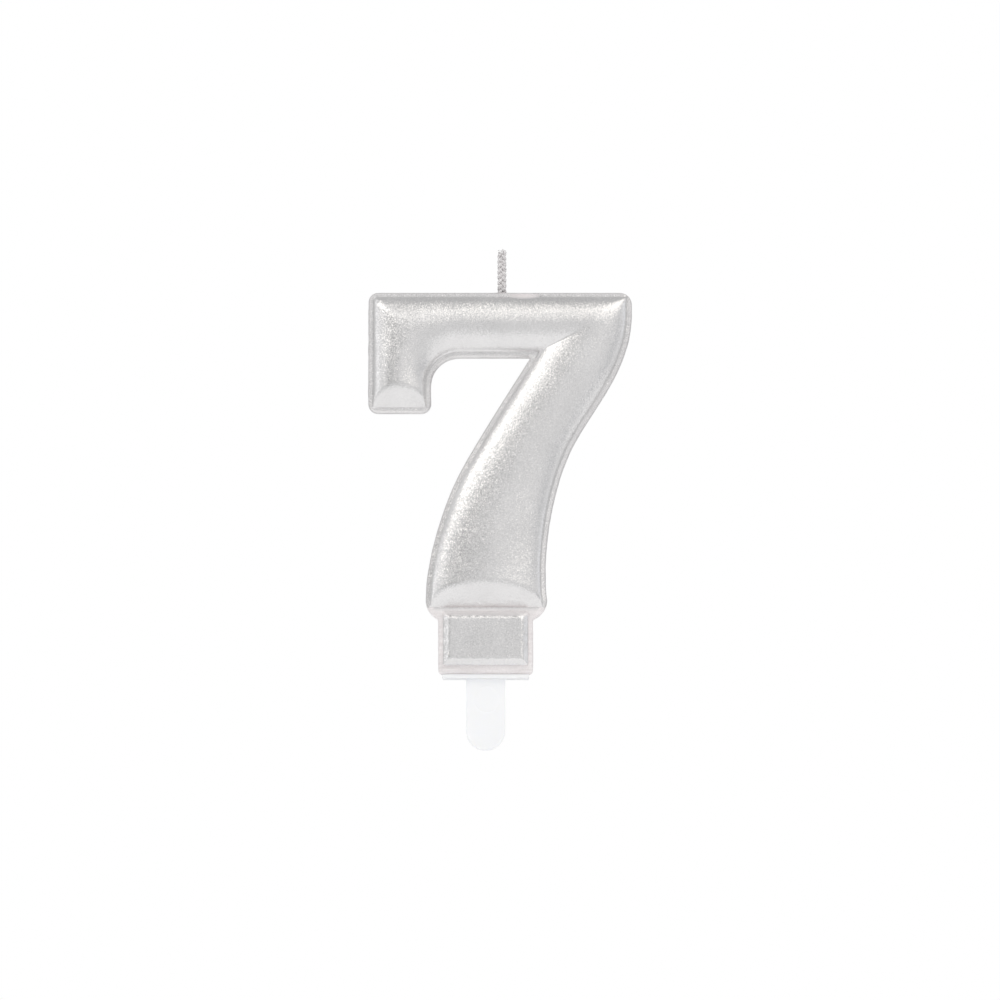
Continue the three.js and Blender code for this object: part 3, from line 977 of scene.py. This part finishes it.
def glittered_cord():
    """Cotton with silver glitter, some grains dull, and near-black specks towards the wick's foot, painted
    shade where it goes into the wax.
    """
    material, nodes = new_material("glittered_cord")
    position = nodes.add("ShaderNodeTexCoord").outputs["Object"]
    cells = nodes.add("ShaderNodeTexVoronoi", {"Vector": position, "Scale": 8000}).outputs["Color"]
    pick = nodes.add("ShaderNodeSeparateColor", {"Color": cells}).outputs[0]
    colour = nodes.ramp(pick, [(0.0, (0.42, 0.41, 0.41)), (0.12, (0.80, 0.78, 0.78)),
                               (0.6, (0.91, 0.89, 0.90)), (1.0, (0.97, 0.96, 0.96))])
    height = nodes.add("ShaderNodeSeparateXYZ", {"Vector": position}).outputs["Z"]
    # Painted shade: towards the wick's foot, where it goes into the wax, more and more grains are made
    # near-black.
    painted_shade_share = nodes.add("ShaderNodeMapRange", {"Value": height, "From Min": (TOP + 1.3) * MM,
                                             "From Max": (TOP + 0.3) * MM, "To Max": 0.3})
    painted_shade_speck = nodes.math("LESS_THAN", pick, painted_shade_share.outputs[0])
    colour = nodes.mix(painted_shade_speck, colour, (0.05, 0.045, 0.05))
    fibre = nodes.add("ShaderNodeTexNoise", {"Vector": position, "Scale": 6000, "Detail": 4}).outputs["Fac"]
    bump = nodes.add("ShaderNodeBump", {"Height": fibre, "Strength": 0.6, "Distance": 0.00003})
    tipped = nodes.vector("SCALE", nodes.vector("SUBTRACT", cells, (0.5, 0.5, 0.5)), scale=0.8)
    normal = nodes.vector("NORMALIZE", nodes.vector("ADD", bump.outputs[0], tipped))
    metal = nodes.math("GREATER_THAN", pick, 0.35)
    shader = nodes.add("ShaderNodeBsdfPrincipled", {
        "Base Color": colour, "Metallic": nodes.math("MULTIPLY", metal, 0.9), "Roughness": 0.42,
        "Normal": normal})
    nodes.add("ShaderNodeOutputMaterial", {"Surface": shader.outputs[0]})
    return material


def white_plastic():
    """Slightly translucent, slightly blue white plastic with a fine moulded grain."""
    material, nodes = new_material("white_plastic")
    position = nodes.add("ShaderNodeTexCoord").outputs["Object"]
    cloud = nodes.add("ShaderNodeTexNoise", {"Vector": position, "Scale": 220, "Detail": 3}).outputs["Fac"]
    colour = nodes.ramp(cloud, [(0.35, (0.93, 0.948, 0.985)), (0.7, (0.955, 0.967, 0.995))])
    grain = nodes.add("ShaderNodeTexNoise", {"Vector": position, "Scale": 2600, "Detail": 4}).outputs["Fac"]
    bump = nodes.add("ShaderNodeBump", {"Height": grain, "Strength": 0.15, "Distance": 0.00002})
    rough = nodes.ramp(cloud, [(0.3, (0.3, 0.3, 0.3)), (0.7, (0.42, 0.42, 0.42))])
    shader = nodes.add("ShaderNodeBsdfPrincipled", {
        "Base Color": colour, "Roughness": rough, "Normal": bump.outputs[0],
        "Subsurface Weight": 0.5, "Subsurface Radius": (1.0, 1.0, 1.1), "Subsurface Scale": 0.0015,
        "IOR": 1.49})
    nodes.add("ShaderNodeOutputMaterial", {"Surface": shader.outputs[0]})
    return material


def pale_floor():
    """A plain matt studio floor."""
    material, nodes = new_material("pale_floor")
    position = nodes.add("ShaderNodeTexCoord").outputs["Object"]
    cloud = nodes.add("ShaderNodeTexNoise", {"Vector": position, "Scale": 3}).outputs["Fac"]
    colour = nodes.ramp(cloud, [(0.3, (0.93, 0.93, 0.93)), (0.7, (0.95, 0.95, 0.95))])
    shader = nodes.add("ShaderNodeBsdfPrincipled", {"Base Color": colour, "Roughness": 0.9})
    nodes.add("ShaderNodeOutputMaterial", {"Surface": shader.outputs[0]})
    return material


# ---- Studio ------------------------------------------------------------------------------------------

VIEW_ELEVATION = -8          # the camera looks up at the candle a little
LENS = 200
SENSOR = 36
FRAME_WIDTH = 200            # width of the picture at the candle, mm
LOOK_AT = (2.86, 0, 36.0)
FLOOR_RADIUS = 500
FLOOR_HEIGHT = -150


def camera():
    """The camera, far off in front of the candle and a little below it."""
    data = bpy.data.cameras.new("camera")
    data.lens = LENS
    data.sensor_width = SENSOR
    data.clip_start = 0.01
    distance = FRAME_WIDTH * LENS / SENSOR
    elevation = math.radians(VIEW_ELEVATION)
    back = np.array([0, -math.cos(elevation), math.sin(elevation)])
    piece = linked("camera", data)
    piece.location = Vector((np.array(LOOK_AT) + back * distance) * MM)
    piece.rotation_euler = (math.pi / 2 - elevation, 0, 0)
    bpy.context.scene.camera = piece


def direction(azimuth, elevation):
    """A unit vector: azimuth 0 is towards the camera, positive to the reader's right."""
    a, e = math.radians(azimuth), math.radians(elevation)
    return (math.sin(a) * math.cos(e), -math.cos(a) * math.cos(e), math.sin(e))


NEUTRAL = (1.0, 1.0, 1.0)
WARM = (1.02, 1.0, 0.965)
COOL = (0.985, 1.0, 1.03)

# What a mirror on the candle would see: direction (azimuth, elevation), half angle of the even
# middle, half angle where the soft edge ends, brightness, tint. Later ones cover earlier ones.
SURROUNDINGS = [
    ((180, -10), 60, 80, 0.54, NEUTRAL),     # dark room behind the candle
    ((0, -68), 43, 51, 0.90, NEUTRAL),       # white floor, in front
    ((5, 82), 29, 46, 0.54, NEUTRAL),        # ceiling
    ((-24, 10), 9, 16, 0.40, NEUTRAL),       # the camera and its stand
    ((-50, 33), 9, 17, 1.80, WARM),          # softbox, left
    ((-80, 4), 8, 14, 1.25, NEUTRAL),        # its reflector
    ((-21, 28), 2, 11, 1.68, WARM),          # softbox, front
    ((34, 40), 23, 31, 1.31, WARM),          # softbox, right
    ((58, -9), 5, 13, 0.52, COOL),           # dark side of the room, right
    ((93, 8), 7, 14, 0.90, COOL),            # window, right
]
BACKDROP = (0.73, 0.73, 0.73)
WHITE = (1.0, 1.0, 1.0)


def surroundings():
    """The world: patches of light for reflections, plain white for the rest and behind the candle."""
    world = bpy.data.worlds.new("studio")
    bpy.context.scene.world = world
    world.use_nodes = True
    nodes = Nodes(world.node_tree)
    looking = nodes.add("ShaderNodeTexCoord").outputs["Generated"]
    colour = BACKDROP
    for towards, inner, outer, brightness, tint in SURROUNDINGS:
        dot = nodes.add("ShaderNodeVectorMath", {0: looking, 1: direction(*towards)},
                        operation="DOT_PRODUCT")
        share = nodes.add("ShaderNodeMapRange", {
            "Value": dot.outputs["Value"], "From Min": math.cos(math.radians(outer)),
            "From Max": math.cos(math.radians(inner))}, interpolation_type="SMOOTHSTEP")
        colour = nodes.mix(share.outputs[0], colour, tuple(brightness * part for part in tint))
    ray = nodes.add("ShaderNodeLightPath")
    soft = nodes.mix(ray.outputs["Is Diffuse Ray"], colour, WHITE)
    seen = nodes.mix(ray.outputs["Is Camera Ray"], soft, WHITE)
    background = nodes.add("ShaderNodeBackground", {"Color": seen, "Strength": 1.0})
    nodes.add("ShaderNodeOutputWorld", {"Surface": background.outputs[0]})


def floor():
    """A round floor, low enough for the camera to see the candle from below."""
    bm = bmesh.new()
    bmesh.ops.create_circle(bm, cap_ends=True, segments=96, radius=FLOOR_RADIUS * MM)
    bmesh.ops.translate(bm, vec=(0, 0, FLOOR_HEIGHT * MM), verts=bm.verts)
    piece = solid("floor", bm)
    piece.data.materials.append(pale_floor())


# ---- Scene -------------------------------------------------------------------------------------------

camera()
surroundings()
floor()
bpy.context.scene.view_settings.view_transform = "Standard"

numeral = numeral_piece(silver_lacquer())
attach(numeral, "candle")
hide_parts("wax_numeral")

wick = wick_piece(glittered_cord())
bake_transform(wick)
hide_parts("wick_embedded", "wick_tip")

pick = pick_piece(white_plastic())
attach(pick, "pick")
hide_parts("pick")
